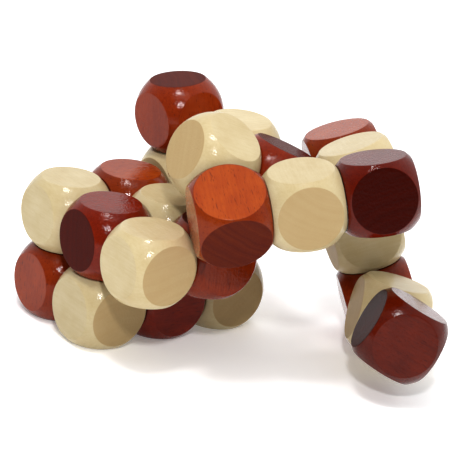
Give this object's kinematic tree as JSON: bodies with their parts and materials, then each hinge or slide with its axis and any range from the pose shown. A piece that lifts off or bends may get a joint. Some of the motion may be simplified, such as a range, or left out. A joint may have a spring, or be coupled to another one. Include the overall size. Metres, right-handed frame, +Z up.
{
  "type": "twisty snake puzzle",
  "caption": "Chain of alternating dark and light wooden cubes threaded on an elastic cord; each cube twists on its neighbour and the chain folds up into a solid cube.",
  "frame": {"origin": "centre of the footprint of the whole puzzle as it lies, on the table surface", "axes": "+Z up; +X and +Y run square to the faces of the packed block of cubes, +X along the longer side of the footprint, towards the free tail"},
  "size_m": [0.11, 0.0988, 0.0694],
  "materials": {
    "dark_wood": "glossy lacquered mahogany red-brown stain",
    "light_wood": "glossy clear lacquer on pale maple",
    "elastic_cord": "woven sleeve over a rubber core",
    "peg_wood": "bare birch dowel"
  },
  "bodies": {
    "cube_01": {"cube_01_dark": "dark_wood", "cord_01": "elastic_cord", "end_peg_head": "peg_wood"},
    "cube_02": {"cube_02_light": "light_wood", "cord_02": "elastic_cord"},
    "cube_03": {"cube_03_dark": "dark_wood", "cord_03": "elastic_cord"},
    "cube_04": {"cube_04_light": "light_wood", "cord_04": "elastic_cord"},
    "cube_05": {"cube_05_dark": "dark_wood", "cord_05": "elastic_cord"},
    "cube_06": {"cube_06_light": "light_wood", "cord_06": "elastic_cord"},
    "cube_07": {"cube_07_dark": "dark_wood", "cord_07": "elastic_cord"},
    "cube_08": {"cube_08_light": "light_wood", "cord_08": "elastic_cord"},
    "cube_09": {"cube_09_dark": "dark_wood", "cord_09": "elastic_cord"},
    "cube_10": {"cube_10_light": "light_wood", "cord_10": "elastic_cord"},
    "cube_11": {"cube_11_dark": "dark_wood", "cord_11": "elastic_cord"},
    "cube_12": {"cube_12_light": "light_wood", "cord_12": "elastic_cord"},
    "cube_13": {"cube_13_dark": "dark_wood", "cord_13": "elastic_cord"},
    "cube_14": {"cube_14_light": "light_wood", "cord_14": "elastic_cord"},
    "cube_15": {"cube_15_dark": "dark_wood", "cord_15": "elastic_cord"},
    "cube_16": {"cube_16_light": "light_wood", "cord_16": "elastic_cord"},
    "cube_17": {"cube_17_dark": "dark_wood", "cord_17": "elastic_cord"},
    "cube_18": {"cube_18_light": "light_wood", "cord_18": "elastic_cord"},
    "cube_19": {"cube_19_dark": "dark_wood", "cord_19": "elastic_cord"},
    "cube_20": {"cube_20_light": "light_wood", "cord_20": "elastic_cord"},
    "cube_21": {"cube_21_dark": "dark_wood", "cord_21": "elastic_cord"},
    "cube_22": {"cube_22_light": "light_wood", "cord_22": "elastic_cord"},
    "cube_23": {"cube_23_dark": "dark_wood", "cord_23": "elastic_cord"},
    "cube_24": {"cube_24_light": "light_wood", "cord_24": "elastic_cord"},
    "cube_25": {"cube_25_dark": "dark_wood", "cord_25": "elastic_cord"},
    "cube_26": {"cube_26_light": "light_wood", "cord_26": "elastic_cord"},
    "cube_27": {"cube_27_dark": "dark_wood", "cord_27": "elastic_cord", "end_peg_tail": "peg_wood"}
  },
  "joints": [
    {"name": "twist_01_02", "type": "hinge", "parent": "cube_02", "child": "cube_01", "pos_m": [0.03354, 0.02107, 0.01626], "axis": [0.8513, -0.51, 0.1236], "continuous": true},
    {"name": "twist_02_03", "type": "hinge", "parent": "cube_03", "child": "cube_02", "pos_m": [0.01651, 0.03127, 0.01379], "axis": [0.8513, -0.51, 0.1236], "continuous": true},
    {"name": "twist_03_04", "type": "hinge", "parent": "cube_04", "child": "cube_03", "pos_m": [0.00523, 0.03399, 0.02186], "axis": [0.2774, 0.2375, -0.9309], "range_deg": [-225, 68]},
    {"name": "twist_04_05", "type": "hinge", "parent": "cube_05", "child": "cube_04", "pos_m": [-0.00032, 0.02924, 0.04048], "axis": [0.2774, 0.2375, -0.9309], "range_deg": [-225, 68]},
    {"name": "twist_05_06", "type": "hinge", "parent": "cube_06", "child": "cube_05", "pos_m": [0.00574, 0.02243, 0.05129], "axis": [-0.8836, 0.4435, -0.1501], "range_deg": [-180, 29]},
    {"name": "twist_06_07", "type": "hinge", "parent": "cube_07", "child": "cube_06", "pos_m": [0.02341, 0.01356, 0.0543], "axis": [-0.8836, 0.4435, -0.1501], "range_deg": [-0.4, 29]},
    {"name": "twist_07_08", "type": "hinge", "parent": "cube_08", "child": "cube_07", "pos_m": [0.02814, 0.00025, 0.05371], "axis": [0.4102, 0.8878, 0.2086], "range_deg": [-0.5, 335]},
    {"name": "twist_08_09", "type": "hinge", "parent": "cube_09", "child": "cube_08", "pos_m": [0.01994, -0.01751, 0.04954], "axis": [0.4102, 0.8878, 0.2086], "range_deg": [-0.5, 265]},
    {"name": "twist_09_10", "type": "hinge", "parent": "cube_10", "child": "cube_09", "pos_m": [0.00742, -0.02358, 0.05207], "axis": [0.8416, -0.2804, -0.4617], "range_deg": [-0.3, 1]},
    {"name": "twist_10_11", "type": "hinge", "parent": "cube_11", "child": "cube_10", "pos_m": [0.00017, -0.01149, 0.05317], "axis": [-0.1161, -0.9287, 0.3523], "range_deg": [-0.2, 64]},
    {"name": "twist_11_12", "type": "hinge", "parent": "cube_12", "child": "cube_11", "pos_m": [-0.00858, -0.0009, 0.04982], "axis": [0.9913, -0.1305, -0.0173], "range_deg": [-28, 0.2]},
    {"name": "twist_12_13", "type": "hinge", "parent": "cube_13", "child": "cube_12", "pos_m": [-0.01867, 0.0004, 0.03999], "axis": [0.0175, 0, 0.9998], "range_deg": [-0.1, 8]},
    {"name": "twist_13_14", "type": "hinge", "parent": "cube_14", "child": "cube_13", "pos_m": [-0.01902, 0.0004, 0.01999], "axis": [0.0175, 0, 0.9998], "range_deg": [-0.1, 1]},
    {"name": "twist_14_15", "type": "hinge", "parent": "cube_15", "child": "cube_14", "pos_m": [-0.0192, -0.0096, 0.01], "axis": [0, 1, 0], "range_deg": [-0.3, 0.3]},
    {"name": "twist_15_16", "type": "hinge", "parent": "cube_16", "child": "cube_15", "pos_m": [-0.0192, -0.0296, 0.01], "axis": [0, 1, 0], "range_deg": [-0.3, 0.3]},
    {"name": "twist_16_17", "type": "hinge", "parent": "cube_16", "child": "cube_17", "pos_m": [-0.0292, -0.0396, 0.01], "axis": [-1, 0, 0], "range_deg": [-0.15, 0.15]},
    {"name": "twist_17_18", "type": "hinge", "parent": "cube_17", "child": "cube_18", "pos_m": [-0.0392, -0.0396, 0.01999], "axis": [0, 0, 1], "range_deg": [-0.1, 0.1]},
    {"name": "twist_18_19", "type": "hinge", "parent": "cube_18", "child": "cube_19", "pos_m": [-0.0292, -0.0396, 0.03], "axis": [1, 0, 0], "range_deg": [-0.2, 0.2]},
    {"name": "twist_19_20", "type": "hinge", "parent": "cube_19", "child": "cube_20", "pos_m": [-0.0092, -0.0396, 0.03], "axis": [1, 0, 0], "range_deg": [-0.2, 0.2]},
    {"name": "twist_20_21", "type": "hinge", "parent": "cube_20", "child": "cube_21", "pos_m": [0.0008, -0.0296, 0.03], "axis": [0, 1, 0], "range_deg": [-0.1, 0.2]},
    {"name": "twist_21_22", "type": "hinge", "parent": "cube_21", "child": "cube_22", "pos_m": [-0.0092, -0.0196, 0.03], "axis": [-1, 0, 0], "range_deg": [-0.4, 0.3]},
    {"name": "twist_22_23", "type": "hinge", "parent": "cube_22", "child": "cube_23", "pos_m": [-0.0292, -0.0196, 0.03], "axis": [-1, 0, 0], "range_deg": [-0.4, 0.3]},
    {"name": "twist_23_24", "type": "hinge", "parent": "cube_23", "child": "cube_24", "pos_m": [-0.0392, -0.0196, 0.01999], "axis": [0, 0, -1], "range_deg": [-0.4, 0.15]},
    {"name": "twist_24_25", "type": "hinge", "parent": "cube_24", "child": "cube_25", "pos_m": [-0.0392, -0.0096, 0.01], "axis": [0, 1, 0], "range_deg": [-0.3, 0.3]},
    {"name": "twist_25_26", "type": "hinge", "parent": "cube_25", "child": "cube_26", "pos_m": [-0.0392, 0.0004, 0.01999], "axis": [0, 0, 1], "range_deg": [-8, 4]},
    {"name": "twist_26_27", "type": "hinge", "parent": "cube_26", "child": "cube_27", "pos_m": [-0.04328, -0.00003, 0.04324], "axis": [-0.1043, -0.1216, 0.9871], "continuous": true}
  ]
}
